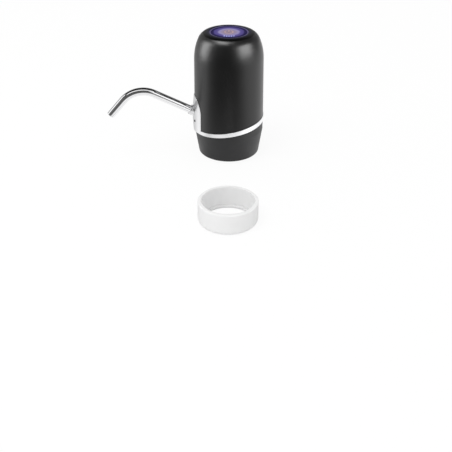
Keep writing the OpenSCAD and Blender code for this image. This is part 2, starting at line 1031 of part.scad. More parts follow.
module battery() {
    color("#3d8c57")
        translate([cell_at[0], cell_at[1], cell_z]) {
            cylinder(r = cell_r - cell_rim, h = cell_l - cell_tip);
            translate([0, 0, cell_step])
                cylinder(r = cell_r, h = cell_l - cell_tip - 2 * cell_step);
            cylinder(r = cell_r * 0.34, h = cell_l);
        }
}

module spout_socket() {
    color("#34363a")
        difference() {
            union() {
                intersection() {
                    at_spout()
                        translate([0, 0, -socket_deep])
                            cylinder(r = socket_r, h = far);
                    dome(shell_wall + close_gap);
                }
                intersection() {
                    at_spout()
                        translate([0, 0, seal_at[1]])
                            cylinder(r = neck_tube_r, h = far);
                    plate_face(0);
                }
                translate([barb_x, 0, barb_axis_z])
                    cylinder(r = nipple_r, h = barb_top - barb_axis_z);
            }
            at_spout() {
                translate([0, 0, 1.5 - socket_deep])
                    cylinder(r = socket_bore_r, h = far);
                for (s = seal_at)
                    translate([0, 0, s - seal_wire_r - slip])
                        cylinder(r = spout_r + 2 * seal_wire_r, h = 2 * (seal_wire_r + slip));
            }
            translate([barb_x, 0, barb_axis_z])
                cylinder(r = nipple_bore_r, h = far);
        }
}

module spout_seals() {
    color("#17181a")
        at_spout()
            for (s = seal_at)
                translate([0, 0, s])
                    rotate_extrude()
                        translate([spout_r + seal_wire_r + slip, 0])
                            circle(r = seal_wire_r - slip);
}

module spout_ferrule() {
    color("#d3d6da")
        difference() {
            at_spout()
                translate([0, 0, -collar_l])
                    tube(neck_tube_r + 0.2, socket_bore_r, 2 * collar_l);
            plate_face(slip);
        }
}

// The tube is a hair thicker through the bend, and its straight runs end just inside that
module spout_tube() {
    in_r = spout_r - spout_wall;
    swell = 0.02;
    lap = 0.05;
    color("#d3d6da")
        at_spout() {
            translate([0, 0, -tube_deep])
                tube(spout_r, in_r, tube_deep + spout_run + lap);
            translate([-spout_bend_r, 0, spout_run]) {
                rotate([90, 0, 0])
                    rotate_extrude(angle = spout_bend)
                        translate([spout_bend_r, 0])
                            difference() {
                                circle(r = spout_r + swell);
                                circle(r = in_r - swell);
                            }
                rotate([0, -spout_bend, 0])
                    translate([spout_bend_r, 0, -lap])
                        tube(spout_r, in_r, spout_end + lap);
            }
        }
}

module charge_board() {
    color("#2f6b4a")
        translate([charge_board_x, -charge_board_w / 2, charge_z - charge_board_h / 2])
            cube([charge_board_t, charge_board_w, charge_board_h]);
}

// Upright charging socket: a folded metal shell with its tongue
module charge_socket() {
    x0 = charge_board_x + charge_board_t;
    color("#c4c7cb")
        translate([x0, 0, charge_z]) {
            difference() {
                translate([0, -usb_w / 2, -usb_h / 2])
                    cube([usb_x - x0, usb_w, usb_h]);
                translate([1.2, -usb_w / 2 + usb_wall, -usb_h / 2 + usb_wall])
                    cube([far, usb_w - 2 * usb_wall, usb_h - 2 * usb_wall]);
            }
            translate([1, -usb_w / 4, -0.3])
                cube([usb_x - x0 - 1.6, usb_w / 2, 0.6]);
        }
}

// Small lamp pressed through the shell and the plate, flush inside
module charge_indicator() {
    color("#101114")
        rotate([0, 0, indicator_turn])
            translate([0, 0, indicator_z])
                rotate([0, -90, 0])
                    translate([0, 0, shell_in_r(indicator_z)])
                        cylinder(r = indicator_d / 2, h = shell_wall + plate_proud + slip);
}

module control_board() {
    color("#2f6b4a")
        difference() {
            translate([0, 0, board_low])
                cylinder(r = board_r, h = board_t);
            at_bosses()
                translate([0, 0, board_low - 1])
                    cylinder(r = screw_r + slip, h = board_t + 2);
        }
}

module board_screws() {
    color("#a9abad")
        at_bosses()
            translate([0, 0, board_low])
                screw(board_t + boss_hole - 1);
}

module button_switch() {
    color("#2a2b2e")
        difference() {
            translate([-switch_w / 2, -switch_w / 2, board_top])
                cube([switch_w, switch_w, switch_h]);
            translate([0, 0, board_top + 0.4])
                cylinder(r = plunger_r + 0.1, h = far);
        }
}

module switch_plunger() {
    color("#8e2f2f")
        translate([0, 0, plunger_low])
            cylinder(r = plunger_r, h = plunger_top - plunger_low);
}

module ring_leds() {
    color("#f0ead0")
        for (a = led_angles)
            rotate([0, 0, a])
                translate([leg_at_r - 1, -1, board_top])
                    cube([1.6, 2, 0.8]);
}

module light_ring() {
    color("#b9a8e8") {
        translate([0, 0, light_low])
            tube(light_r, light_in_r, light_top - light_low);
        translate([0, 0, light_low])
            tube(light_flange_r, light_in_r, light_flange_top - light_low);
        for (a = leg_angles)
            rotate([0, 0, a])
                translate([leg_at_r, 0, board_top])
                    cylinder(r = leg_r, h = light_low - board_top + 0.5);
    }
}

module button_cap() {
    skirt_low = flange_top - button_flange_t;
    skirt_in_r = button_r - skirt_wall;
    color("#232a78")
        difference() {
            union() {
                translate([0, 0, button_top - button_t])
                    cylinder(r = button_r, h = button_t - cap_edge);
                translate([0, 0, button_top - cap_edge])
                    cylinder(r1 = button_r, r2 = button_r - cap_edge, h = cap_edge);
                translate([0, 0, skirt_low]) {
                    tube(button_r, skirt_in_r, button_top - button_t / 2 - skirt_low);
                    tube(light_in_r + 2 * free_gap, skirt_in_r, button_flange_t);
                }
                translate([0, 0, plunger_top])
                    cylinder(r = post_r, h = button_top - button_t / 2 - plunger_top);
            }
            translate([0, 0, button_top - sign_groove_d])
                tube(sign_groove_r + sign_groove_w / 2, sign_groove_r - sign_groove_w / 2, 1);
        }
}

// Points and triangles of a round tube along a route, with its rings square to the way
function unit(v) = v / norm(v);
function heading(route, i) = unit(route[min(i + 1, len(route) - 1)] - route[max(i - 1, 0)]);

module sweep(route, r, sides, aside) {
    last = len(route) - 1;
    points = [
        for (i = [0:last])
            let (t = heading(route, i), u = unit(cross(aside, t)), v = cross(t, u))
            for (k = [0:sides - 1])
                let (a = 360 * k / sides)
                route[i] + r * (cos(a) * u + sin(a) * v)
    ];
    walls = [
        for (i = [0:last - 1], k = [0:sides - 1])
            let (a = i * sides + k, b = i * sides + (k + 1) % sides)
            each [[a, b + sides, b], [a, a + sides, b + sides]]
    ];
    start = [for (k = [1:sides - 2]) [0, k, k + 1]];
    end = [for (k = [1:sides - 2]) [last * sides, last * sides + k + 1, last * sides + k]];
    polyhedron(points = points, faces = concat(walls, start, end), convexity = 6);
}

// Helix of the button spring, with a close dead turn at each end
spring_rings = 8;
spring_dead = 1;
dead_pitch = spring_wire + 0.45;
spring_all = spring_turns + 2 * spring_dead;
spring_rise = spring_high - spring_low - 2 * spring_dead * dead_pitch;
spring_route = [
    for (i = [0:spring_all * spring_rings])
        let (t = i / spring_rings)
        let (low = min(t, spring_dead), high = max(t - spring_all + spring_dead, 0))
        let (mid = t - low - high)
        [
            spring_d / 2 * cos(360 * t), spring_d / 2 * sin(360 * t),
            spring_low + (low + high) * dead_pitch + mid / spring_turns * spring_rise
        ]
];
// Least clear gap between one turn and the next
spring_gap = min([
    for (i = [0:len(spring_route) - spring_rings - 1])
        norm(spring_route[i + spring_rings] - spring_route[i]) - spring_wire
]);
echo(spring_gap = spring_gap);

module button_spring() {
    color("#c8cbce")
        sweep(spring_route, spring_wire / 2, 6, [0, 0, 1]);
}

// Two leads from the motor terminals up to the board
module motor_leads() {
    top = board_low - bell_top;
    color("#a33030")
        at_drive()
            for (x = [-1, 1])
                translate([x * terminal_dx, 0, bell_top])
                    sweep([
                        [0, 0, 0], [0, 0, 0.3 * top], [0, 0.15 * lead_slack, 0.5 * top],
                        [0, 0.85 * lead_slack, 0.5 * top], [0, lead_slack, 0.7 * top],
                        [0, lead_slack, top]
                    ], lead_r, lead_sides, [1, 0, 0]);
}

// Lead from the cell's top up to the board
module battery_leads() {
    rise = board_low - cell_top;
    in = -lead_reach;
    color("#2c2d31")
        translate([cell_at[0], cell_at[1], cell_top])
            sweep([
                [0, 0, 0], [0, 0, 0.2 * rise], [0.25 * in, 0.25 * in, 0.45 * rise],
                [0.75 * in, 0.75 * in, 0.7 * rise], [in, in, 0.9 * rise], [in, in, rise]
            ], lead_r, lead_sides, [1, -1, 0]);
}

// Pair of leads from the charge board up inside the shell
module charge_leads() {
    low = charge_z + charge_board_h / 2;
    rise = board_low - low;
    in = -lead_reach;
    color("#8c1f1f")
        for (y = [-1, 1])
            translate([charge_board_x + charge_board_t / 2, lead_pair * y, low])
                sweep([
                    [0, 0, 0], [0, 0, 0.1 * rise], [0, 0, 0.5 * rise], [0.25 * in, 0, 0.75 * rise],
                    [0.9 * in, 0, 0.9 * rise], [in, 0, 0.97 * rise], [in, 0, rise]
                ], lead_r, lead_sides, [0, 1, 0]);
}

module adapter_ring() {
    r = ring_d / 2;
    bore_r = ring_bore_d / 2;
    floor_z = ring_h - ring_bore_depth;
    chamfer = 0.8;
    color("#f1f1ef")
        translate([ring_x, ring_y, 0])
            rotate_extrude()
                difference() {
                    union() {
                        translate([0, ring_round])
                            square([r, ring_h - ring_round - chamfer]);
                        square([r - ring_round, ring_h]);
                        translate([r - ring_round, ring_round])
                            circle(r = ring_round);
                        polygon([
                            [r - ring_round, ring_h - 2 * chamfer], [r, ring_h - 2 * chamfer],
                            [r, ring_h - chamfer], [r - chamfer, ring_h], [r - ring_round, ring_h]
                        ]);
                    }
                    translate([-1, -1])
                        square([ring_hole_d / 2 + 1, far]);
                    translate([-1, floor_z])
                        square([bore_r + 1, far]);
                }
}

base();
trim_band();
upper_shell();
neck_gasket();
inlet_fitting();
link_hose();
chassis();
chassis_screws();
pump_cover();
pump_body();
pump_screws();
idler_pin();
shaft_seal();
motor_can();
motor_end_bell();
motor_magnets();
motor_bushes();
battery();
delivery_hose();
spout_socket();
spout_seals();
spout_ferrule();
charge_board();
charge_socket();
charge_indicator();
control_board();
board_screws();
button_switch();
ring_leds();
light_ring();
button_spring();
motor_leads();
battery_leads();
charge_leads();
button_cap();
switch_plunger();
spout_tube();
motor_shaft();
armature();
drive_gear();
driven_gear();
adapter_ring();
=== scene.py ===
import math

import bmesh
import bpy
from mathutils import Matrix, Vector


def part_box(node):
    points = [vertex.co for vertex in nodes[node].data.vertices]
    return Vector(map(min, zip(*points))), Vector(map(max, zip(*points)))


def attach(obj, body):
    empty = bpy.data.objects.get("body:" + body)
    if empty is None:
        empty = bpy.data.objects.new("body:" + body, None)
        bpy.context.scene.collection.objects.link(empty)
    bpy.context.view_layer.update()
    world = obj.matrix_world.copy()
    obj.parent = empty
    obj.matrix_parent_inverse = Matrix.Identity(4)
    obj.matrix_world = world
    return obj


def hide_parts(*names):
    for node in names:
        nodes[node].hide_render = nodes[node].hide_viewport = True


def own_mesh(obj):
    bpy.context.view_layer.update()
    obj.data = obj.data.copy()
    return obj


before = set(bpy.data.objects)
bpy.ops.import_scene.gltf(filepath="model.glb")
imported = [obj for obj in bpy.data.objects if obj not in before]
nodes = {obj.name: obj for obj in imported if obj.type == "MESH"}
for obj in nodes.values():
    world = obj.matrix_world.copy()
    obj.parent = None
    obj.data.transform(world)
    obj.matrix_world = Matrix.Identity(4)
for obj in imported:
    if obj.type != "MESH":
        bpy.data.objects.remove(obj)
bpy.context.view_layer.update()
scene = bpy.context.scene
MM = 0.001

# Camera: the photo's size and focal length in pixels, and the view that fits it
PICTURE_PX = 452
SENSOR_MM = 36.0
FOCAL_PX = 771.2
CLIP_NEAR = 0.01
CLIP_FAR = 20.0
VIEW_AZIMUTH = math.radians(-10.0)
VIEW_PITCH = math.radians(32.05)
VIEW_DISTANCE = 0.900
LOOK_ASIDE = -0.0030
LOOK_HEIGHT = -0.0999


def add_camera():
    """Camera at the photo's angle, with no shift."""
    right = Vector((math.cos(VIEW_AZIMUTH), math.sin(VIEW_AZIMUTH), 0.0))
    ahead = Vector((
        -math.sin(VIEW_AZIMUTH) * math.cos(VIEW_PITCH),
        math.cos(VIEW_AZIMUTH) * math.cos(VIEW_PITCH),
        -math.sin(VIEW_PITCH),
    ))
    look_at = LOOK_ASIDE * right + Vector((0.0, 0.0, LOOK_HEIGHT))
    data = bpy.data.cameras.new("camera")
    data.sensor_width = SENSOR_MM
    data.lens = SENSOR_MM * FOCAL_PX / PICTURE_PX
    data.clip_start = CLIP_NEAR
    data.clip_end = CLIP_FAR
    camera = bpy.data.objects.new("camera", data)
    camera.location = look_at - ahead * VIEW_DISTANCE
    camera.rotation_euler = ahead.to_track_quat("-Z", "Y").to_euler()
    scene.collection.objects.link(camera)
    scene.camera = camera


add_camera()

# Shader helpers
WHITE = (1.0, 1.0, 1.0, 1.0)
EDGE_ROUND = 0.3 * MM
EDGE_SAMPLES = 6
GRAIN_DETAIL = 2.0


def new_material(name):
    """A material, its node tree and its surface shader."""
    mat = bpy.data.materials.new(name)
    mat.use_nodes = True
    tree = mat.node_tree
    return mat, tree, tree.nodes["Principled BSDF"]


def node(tree, kind, **values):
    """A shader node whose named inputs or properties are set."""
    made = tree.nodes.new(kind)
    for key, value in values.items():
        if key in made.inputs:
            made.inputs[key].default_value = value
        else:
            setattr(made, key, value)
    return made


def noise(tree, scale, detail=3.0):
    """Noise in the part's own space, so that it keeps its size on every piece."""
    coords = node(tree, "ShaderNodeTexCoord")
    made = node(tree, "ShaderNodeTexNoise", Scale=scale, Detail=detail, Roughness=0.5)
    tree.links.new(coords.outputs["Object"], made.inputs["Vector"])
    return made.outputs["Fac"]


def ranged(tree, source, from_range, to_range, soft=False):
    """Maps one range to another, held at its ends."""
    made = node(tree, "ShaderNodeMapRange")
    if soft:
        made.interpolation_type = "SMOOTHSTEP"
    made.inputs["From Min"].default_value, made.inputs["From Max"].default_value = from_range
    made.inputs["To Min"].default_value, made.inputs["To Max"].default_value = to_range
    tree.links.new(source, made.inputs["Value"])
    return made.outputs["Result"]


def colour_ramp(tree, source, stops):
    """Colour that follows the given stops, each a position and a colour."""
    ramp = node(tree, "ShaderNodeValToRGB")
    elements = ramp.color_ramp.elements
    while len(elements) < len(stops):
        elements.new(0.5)
    for element, (at, colour) in zip(elements, stops):
        element.position = at
        element.color = (*colour, 1.0)
    tree.links.new(source, ramp.inputs["Fac"])
    return ramp.outputs["Color"]


def tint(tree, source, dark, light):
    """Colour between two tones."""
    return colour_ramp(tree, source, [(0.0, dark), (1.0, light)])


def math_node(tree, operation, first, second):
    """A maths node over two values, each a socket or a plain number."""
    made = node(tree, "ShaderNodeMath", operation=operation)
    for socket, value in zip(made.inputs, (first, second)):
        if isinstance(value, (int, float)):
            socket.default_value = value
        else:
            tree.links.new(value, socket)
    return made.outputs[0]


def axis_distance(tree):
    """Distance from the pump's axis."""
    coords = node(tree, "ShaderNodeTexCoord")
    flat = node(tree, "ShaderNodeVectorMath", operation="MULTIPLY")
    flat.inputs[1].default_value = (1.0, 1.0, 0.0)
    length = node(tree, "ShaderNodeVectorMath", operation="LENGTH")
    tree.links.new(coords.outputs["Object"], flat.inputs[0])
    tree.links.new(flat.outputs[0], length.inputs[0])
    return length.outputs["Value"]


def grain_bump(tree, shader, scale, strength, distance):
    """Fine grain, and sharp edges eased where the light catches them."""
    grain = noise(tree, scale, GRAIN_DETAIL)
    eased = node(tree, "ShaderNodeBevel", Radius=EDGE_ROUND, samples=EDGE_SAMPLES)
    bump = node(tree, "ShaderNodeBump", Strength=strength, Distance=distance)
    tree.links.new(eased.outputs["Normal"], bump.inputs["Normal"])
    tree.links.new(grain, bump.inputs["Height"])
    tree.links.new(bump.outputs["Normal"], shader.inputs["Normal"])


# Kinds of surface
FINE_DETAIL = 4.0
MOTTLE_SCALE = 60.0
HAZE_SCALE = 140.0
HAZE = 0.12
MOULD_GRAIN_DEPTH = 0.1 * MM
TONE_SCALE = 35.0
TONE = 0.04
POLISH_SCALE = 220.0
POLISH = 0.25
METAL_GRAIN = 1500.0
METAL_GRAIN_STRENGTH = 0.02
METAL_GRAIN_DEPTH = 0.05 * MM
GLOW_SCALE = 180.0
GLOW_UNEVEN = 0.15


def moulded(name, colour, rough, grain=1500.0, strength=0.08, vary=0.12, specular=0.5, sheen=0.0):
    """Moulded plastic or rubber: faint mottling, uneven gloss and a fine grain."""
    mat, tree, shader = new_material(name)
    dark = [c * (1 - vary) for c in colour]
    light = [min(1.0, c * (1 + vary)) for c in colour]
    mottle = noise(tree, MOTTLE_SCALE)
    tree.links.new(tint(tree, mottle, dark, light), shader.inputs["Base Color"])
    haze = noise(tree, HAZE_SCALE, FINE_DETAIL)
    gloss = ranged(tree, haze, (0.0, 1.0), (rough * (1 - HAZE), rough * (1 + HAZE)))
    tree.links.new(gloss, shader.inputs["Roughness"])
    shader.inputs["Specular IOR Level"].default_value = specular
    shader.inputs["Sheen Weight"].default_value = sheen
    grain_bump(tree, shader, grain, strength, MOULD_GRAIN_DEPTH)
    return mat


def metal(name, colour, rough):
    """Plated or plain metal with uneven polish."""
    mat, tree, shader = new_material(name)
    shader.inputs["Metallic"].default_value = 1.0
    dark = [c * (1 - TONE) for c in colour]
    tone = noise(tree, TONE_SCALE)
    tree.links.new(tint(tree, tone, dark, colour), shader.inputs["Base Color"])
    polish = noise(tree, POLISH_SCALE, FINE_DETAIL)
    gloss = ranged(tree, polish, (0.0, 1.0), (rough * (1 - POLISH), rough * (1 + POLISH)))
    tree.links.new(gloss, shader.inputs["Roughness"])
    grain_bump(tree, shader, METAL_GRAIN, METAL_GRAIN_STRENGTH, METAL_GRAIN_DEPTH)
    return mat


def glowing(name, colour, glow, rough, specular=0.5):
    """Lit diffuser plastic with slight unevenness."""
    mat, tree, shader = new_material(name)
    dark = [c * (1 - GLOW_UNEVEN) for c in colour]
    shade = tint(tree, noise(tree, GLOW_SCALE), dark, colour)
    tree.links.new(shade, shader.inputs["Base Color"])
    tree.links.new(shade, shader.inputs["Emission Color"])
    shader.inputs["Emission Strength"].default_value = glow
    shader.inputs["Specular IOR Level"].default_value = specular
    shader.inputs["Roughness"].default_value = rough
    return mat


def make_milky(mat, weight, depth):
    """Lets light travel a little way under the surface."""
    shader = mat.node_tree.nodes["Principled BSDF"]
    shader.inputs["Subsurface Weight"].default_value = weight
    shader.inputs["Subsurface Radius"].default_value = (1.0, 1.0, 1.0)
    shader.inputs["Subsurface Scale"].default_value = depth


# Outer materials
SHELL_ROUGH = 0.36
SHELL_GRAIN = 2600.0
SHELL_COLOUR = (0.0030, 0.0030, 0.0032)
SHELL = moulded("shell_black", SHELL_COLOUR, SHELL_ROUGH, grain=SHELL_GRAIN, strength=0.05, sheen=0.06)
BASE = moulded("base_grey", (0.018, 0.018, 0.019), 0.50, grain=2200.0, strength=0.12)
TRIM = metal("trim_plated", (0.90, 0.90, 0.91), 0.34)
CHROME = metal("spout_chrome", (0.93, 0.93, 0.94), 0.06)
RING = moulded("ring_white", (0.83, 0.83, 0.83), 0.42, grain=1800.0, strength=0.05, vary=0.02, specular=0.3)
make_milky(RING, weight=0.6, depth=4.0 * MM)
SMOKED = moulded("indicator_dark", (0.004, 0.004, 0.005), 0.30, grain=900.0, strength=0.02, specular=0.15)
LIGHT_RING = glowing("light_ring", (0.10, 0.085, 0.20), glow=0.25, rough=0.3, specular=0.15)
SIGN = glowing("button_sign", (0.39, 0.26, 0.25), glow=0.45, rough=0.4)
SIGN_DOTS = glowing("button_dots", (0.36, 0.42, 0.75), glow=0.9, rough=0.4)

# Inner materials
SILICONE = moulded("silicone", (0.60, 0.60, 0.58), 0.55, grain=1200.0, strength=0.05, vary=0.04)
HOSE = moulded("hose", (0.62, 0.65, 0.66), 0.35, grain=1200.0, strength=0.03, vary=0.05)
FITTING = moulded("white_fitting", (0.72, 0.72, 0.70), 0.45, strength=0.06, vary=0.03)
CHASSIS = moulded("chassis_grey", (0.42, 0.43, 0.44), 0.50, vary=0.05)
PUMP = moulded("pump_blue", (0.05, 0.13, 0.22), 0.45, vary=0.08)
STEEL = metal("steel", (0.55, 0.56, 0.57), 0.28)
CAN = metal("motor_can", (0.60, 0.61, 0.63), 0.32)
BRONZE = metal("bronze", (0.52, 0.34, 0.15), 0.40)
COPPER = metal("armature_copper", (0.60, 0.26, 0.11), 0.38)
MAGNET = moulded("magnet", (0.08, 0.08, 0.085), 0.60, grain=2400.0, strength=0.20)
BLACK_PLASTIC = moulded("black_moulding", (0.018, 0.018, 0.020), 0.50, grain=2000.0, strength=0.10)
BLACK_RUBBER = moulded("black_rubber", (0.012, 0.012, 0.013), 0.70, grain=1800.0, strength=0.15)
CELL = moulded("cell_wrap", (0.03, 0.24, 0.09), 0.25, grain=800.0, strength=0.04, vary=0.06)
BOARD = moulded("board_green", (0.015, 0.11, 0.05), 0.35, grain=1600.0, strength=0.10, vary=0.15)
RED_LEAD = moulded("red_lead", (0.33, 0.02, 0.02), 0.45, grain=1200.0, strength=0.05)
GEAR = moulded("gear_plastic", (0.66, 0.62, 0.48), 0.45, strength=0.06, vary=0.04)
LAMP = moulded("lamp", (0.80, 0.74, 0.50), 0.25, grain=900.0, strength=0.03, vary=0.05)

# Button face: printed bands by their share of the way from the axis to the button's rim
BUTTON_FLANGE_OUT = 1.05 * MM
BUTTON_R = (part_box("button_cap")[1].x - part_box("button_cap")[0].x) / 2 - BUTTON_FLANGE_OUT
BUTTON_CLOUD_SCALE = 130.0
BUTTON_WOBBLE = 2.2 * MM
BUTTON_GLOW = 0.15
BUTTON_ROUGH = 0.35
BUTTON_SPECULAR = 0.05
BUTTON_BANDS = [
    (0.00, (0.24, 0.18, 0.22)),
    (0.38, (0.25, 0.20, 0.30)),
    (0.54, (0.25, 0.22, 0.42)),
    (0.64, (0.080, 0.062, 0.23)),
    (0.80, (0.062, 0.047, 0.20)),
    (0.86, (0.012, 0.006, 0.075)),
    (1.00, (0.008, 0.004, 0.055)),
]


def button_material():
    """Printed and lit disc: a pale middle, a violet field and a dark rim, with soft uneven borders."""
    mat, tree, shader = new_material("button_face")
    wobble = node(tree, "ShaderNodeMath", operation="MULTIPLY_ADD")
    wobble.inputs[1].default_value = BUTTON_WOBBLE
    tree.links.new(noise(tree, BUTTON_CLOUD_SCALE, GRAIN_DETAIL), wobble.inputs[0])
    tree.links.new(axis_distance(tree), wobble.inputs[2])
    middle = BUTTON_WOBBLE / 2
    share = ranged(tree, wobble.outputs[0], (middle, middle + BUTTON_R), (0.0, 1.0))
    colour = colour_ramp(tree, share, BUTTON_BANDS)
    tree.links.new(colour, shader.inputs["Base Color"])
    tree.links.new(colour, shader.inputs["Emission Color"])
    shader.inputs["Emission Strength"].default_value = BUTTON_GLOW
    shader.inputs["Roughness"].default_value = BUTTON_ROUGH
    shader.inputs["Specular IOR Level"].default_value = BUTTON_SPECULAR
    return mat


BUTTON = button_material()

# Bezel film: painted navy light spill from the lit light ring, beside the ring, that fades to the shell's
# black
FILM_SPILL_NAVY = (0.003, 0.004, 0.030)
FILM_SPILL_R = 21.0 * MM
FILM_SPILL_END_R = 23.5 * MM


def film_material():
    """Shell plastic with painted navy light spill from the light ring at its inner edge."""
    mat = moulded("bezel_film", SHELL_COLOUR, SHELL_ROUGH, grain=SHELL_GRAIN, strength=0.04, specular=0.35)
    tree = mat.node_tree
    # Painted navy light spill: the light ring's glow is painted into the colour and fades out to the
    # shell's black
    fade = ranged(tree, axis_distance(tree), (FILM_SPILL_R, FILM_SPILL_END_R), (0.0, 1.0))
    spill_tone = tint(tree, fade, FILM_SPILL_NAVY, SHELL_COLOUR)
    tree.links.new(spill_tone, tree.nodes["Principled BSDF"].inputs["Base Color"])
    return mat


FILM = film_material()

# Finish of each CAD node
FINISHES = {
    "base": BASE, "trim_band": TRIM, "upper_shell": SHELL, "neck_gasket": SILICONE,
    "inlet_fitting": FITTING, "link_hose": HOSE, "delivery_hose": HOSE, "chassis": CHASSIS,
    "chassis_screws": STEEL, "pump_screws": STEEL, "board_screws": STEEL, "pump_cover": PUMP,
    "pump_body": PUMP, "idler_pin": STEEL, "motor_shaft": STEEL, "shaft_seal": BLACK_RUBBER,
    "spout_seals": BLACK_RUBBER, "motor_can": CAN, "motor_end_bell": BLACK_PLASTIC,
    "motor_magnets": MAGNET, "motor_bushes": BRONZE, "battery": CELL, "spout_socket": BLACK_PLASTIC,
    "spout_ferrule": TRIM, "charge_board": BOARD, "control_board": BOARD, "charge_socket": STEEL,
    "charge_indicator": SMOKED, "button_switch": BLACK_PLASTIC, "ring_leds": LAMP,
    "light_ring": LIGHT_RING, "button_spring": STEEL, "motor_leads": RED_LEAD,
    "battery_leads": BLACK_RUBBER, "charge_leads": RED_LEAD, "button_cap": BUTTON,
    "switch_plunger": BLACK_PLASTIC, "spout_tube": CHROME, "armature": COPPER, "drive_gear": GEAR,
    "driven_gear": GEAR, "adapter_ring": RING,
}
for name, finish in FINISHES.items():
    mesh = nodes[name].data
    mesh.materials.clear()
    mesh.materials.append(finish)


# Piece helpers
def skin(shape, loops):
    """Joins each closed loop of points to the next with four-sided faces."""
    for a, b in zip(loops, loops[1:]):
        for j in range(len(a)):
            k = (j + 1) % len(a)
            shape.faces.new((a[j], a[k], b[k], b[j]))


def add_piece(name, shape, material, body):
    """Links a finished mesh as a smooth piece that moves with a body."""
    bmesh.ops.recalc_face_normals(shape, faces=shape.faces)
    mesh = bpy.data.meshes.new(name)
    shape.to_mesh(mesh)
    shape.free()
    for face in mesh.polygons:
        face.use_smooth = True
    mesh.materials.append(material)
    piece = bpy.data.objects.new(name, mesh)
    scene.collection.objects.link(piece)
    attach(piece, body)
    return piece


# Spout: one smooth drawn tube with an eased lip, in place of the faceted solid
SPOUT_ROOT = Vector((-36.6, 0.0, 47.6)) * MM
SPOUT_DEEP = 11.0 * MM
SPOUT_RISE = math.radians(28.4)
SPOUT_RUN = 47.9 * MM
SPOUT_BEND_R = 26.8 * MM
SPOUT_BEND = math.radians(76.4)
SPOUT_END = 20.3 * MM
SPOUT_R = 4.0 * MM
SPOUT_BORE_R = 3.3 * MM
SPOUT_LIP = 0.22 * MM
SPOUT_SIDES = 64
SPOUT_STEPS = 90
LIP_STEPS = 12


def spout_place(reach):
    """Centre and heading at a distance along the spout: a straight run, a bend and a straight end."""
    start = math.pi - SPOUT_RISE
    turn = start + min(max(reach - SPOUT_RUN, 0.0) / SPOUT_BEND_R, SPOUT_BEND)
    first = Vector((math.cos(start), 0.0, math.sin(start)))
    heading = Vector((math.cos(turn), 0.0, math.sin(turn)))
    bend_start = Vector((-math.sin(start), 0.0, math.cos(start)))
    bend_here = Vector((-math.sin(turn), 0.0, math.cos(turn)))
    before = min(reach, SPOUT_RUN)
    after = max(reach - SPOUT_RUN - SPOUT_BEND * SPOUT_BEND_R, 0.0)
    centre = SPOUT_ROOT + first * before + (bend_start - bend_here) * SPOUT_BEND_R + heading * after
    return centre, heading


def spout_profile():
    """Reach and radius along the outside of the tube, round its lip and back along its bore."""
    lip_start = SPOUT_RUN + SPOUT_BEND * SPOUT_BEND_R + SPOUT_END - SPOUT_LIP
    walk = [-SPOUT_DEEP + (lip_start + SPOUT_DEEP) * i / SPOUT_STEPS for i in range(SPOUT_STEPS + 1)]
    middle = (SPOUT_R + SPOUT_BORE_R) / 2
    lip = []
    for i in range(1, LIP_STEPS):
        turn = math.pi * i / LIP_STEPS
        reach = lip_start + SPOUT_LIP * math.sin(turn)
        lip.append((reach, middle + (SPOUT_R - middle) * math.cos(turn)))
    outer = [(reach, SPOUT_R) for reach in walk]
    inner = [(reach, SPOUT_BORE_R) for reach in reversed(walk)]
    return outer + lip + inner


def spout_loop(shape, reach, radius):
    """One circle of points square to the spout."""
    centre, heading = spout_place(reach)
    side = Vector((0.0, 1.0, 0.0))
    rise = heading.cross(side)
    loop = []
    for j in range(SPOUT_SIDES):
        turn = 2 * math.pi * j / SPOUT_SIDES
        loop.append(shape.verts.new(centre + radius * (side * math.cos(turn) + rise * math.sin(turn))))
    return loop


def add_spout():
    """The drawn tube, which swivels with the spout."""
    shape = bmesh.new()
    loops = [spout_loop(shape, reach, radius) for reach, radius in spout_profile()]
    skin(shape, loops + loops[:1])
    tube = add_piece("spout_drawn_tube", shape, CHROME, "spout")
    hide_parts("spout_tube")
    return tube


spout_piece = add_spout()

# Button spring: a round-wire coil that shortens as the button goes down
COIL_R = 11.0 * MM
COIL_WIRE_R = 0.45 * MM
COIL_TURNS = 3
COIL_DEAD_PITCH = 1.35 * MM
COIL_STEPS = 40
COIL_SIDES = 12


def coil_rise(turn, height):
    """Height along the coil: one close turn at each end and an even rise between them."""
    dead = min(turn, 1.0) + max(turn - COIL_TURNS - 1.0, 0.0)
    live = min(max(turn - 1.0, 0.0), COIL_TURNS)
    return dead * COIL_DEAD_PITCH + live / COIL_TURNS * (height - 2 * COIL_DEAD_PITCH)


def coil_loop(shape, turn, level):
    """One circle of points round the wire, at a number of turns and a height."""
    out = Vector((math.cos(2 * math.pi * turn), math.sin(2 * math.pi * turn), 0.0))
    centre = out * COIL_R + Vector((0.0, 0.0, level))
    loop = []
    for j in range(COIL_SIDES):
        angle = 2 * math.pi * j / COIL_SIDES
        rim = out * math.cos(angle) + Vector((0.0, 0.0, math.sin(angle)))
        loop.append(shape.verts.new(centre + rim * COIL_WIRE_R))
    return loop


def add_coil():
    """The coil, which stands on the control board."""
    low, high = (corner.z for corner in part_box("button_spring"))
    height = high - low - 2 * COIL_WIRE_R
    shape = bmesh.new()
    loops = []
    for i in range((COIL_TURNS + 2) * COIL_STEPS + 1):
        turn = i / COIL_STEPS
        loops.append(coil_loop(shape, turn, low + COIL_WIRE_R + coil_rise(turn, height)))
    skin(shape, loops)
    shape.faces.new(loops[0])
    shape.faces.new(loops[-1])
    coil = add_piece("button_coil", shape, STEEL, "housing")
    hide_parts("button_spring")
    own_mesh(coil)


add_coil()

# Bezel: a thin film on the shell's top, round the light ring, with painted navy light spill next to the
# ring
BEZEL_IN_R = 19.95 * MM
BEZEL_FLAT_R = 20.9 * MM
BEZEL_EDGE_R = 11.4 * MM
BEZEL_TURN = math.radians(29.0)
BEZEL_T = 0.05 * MM
BEZEL_SUNK = 0.02 * MM
BEZEL_SIDES = 128
BEZEL_STEPS = 16


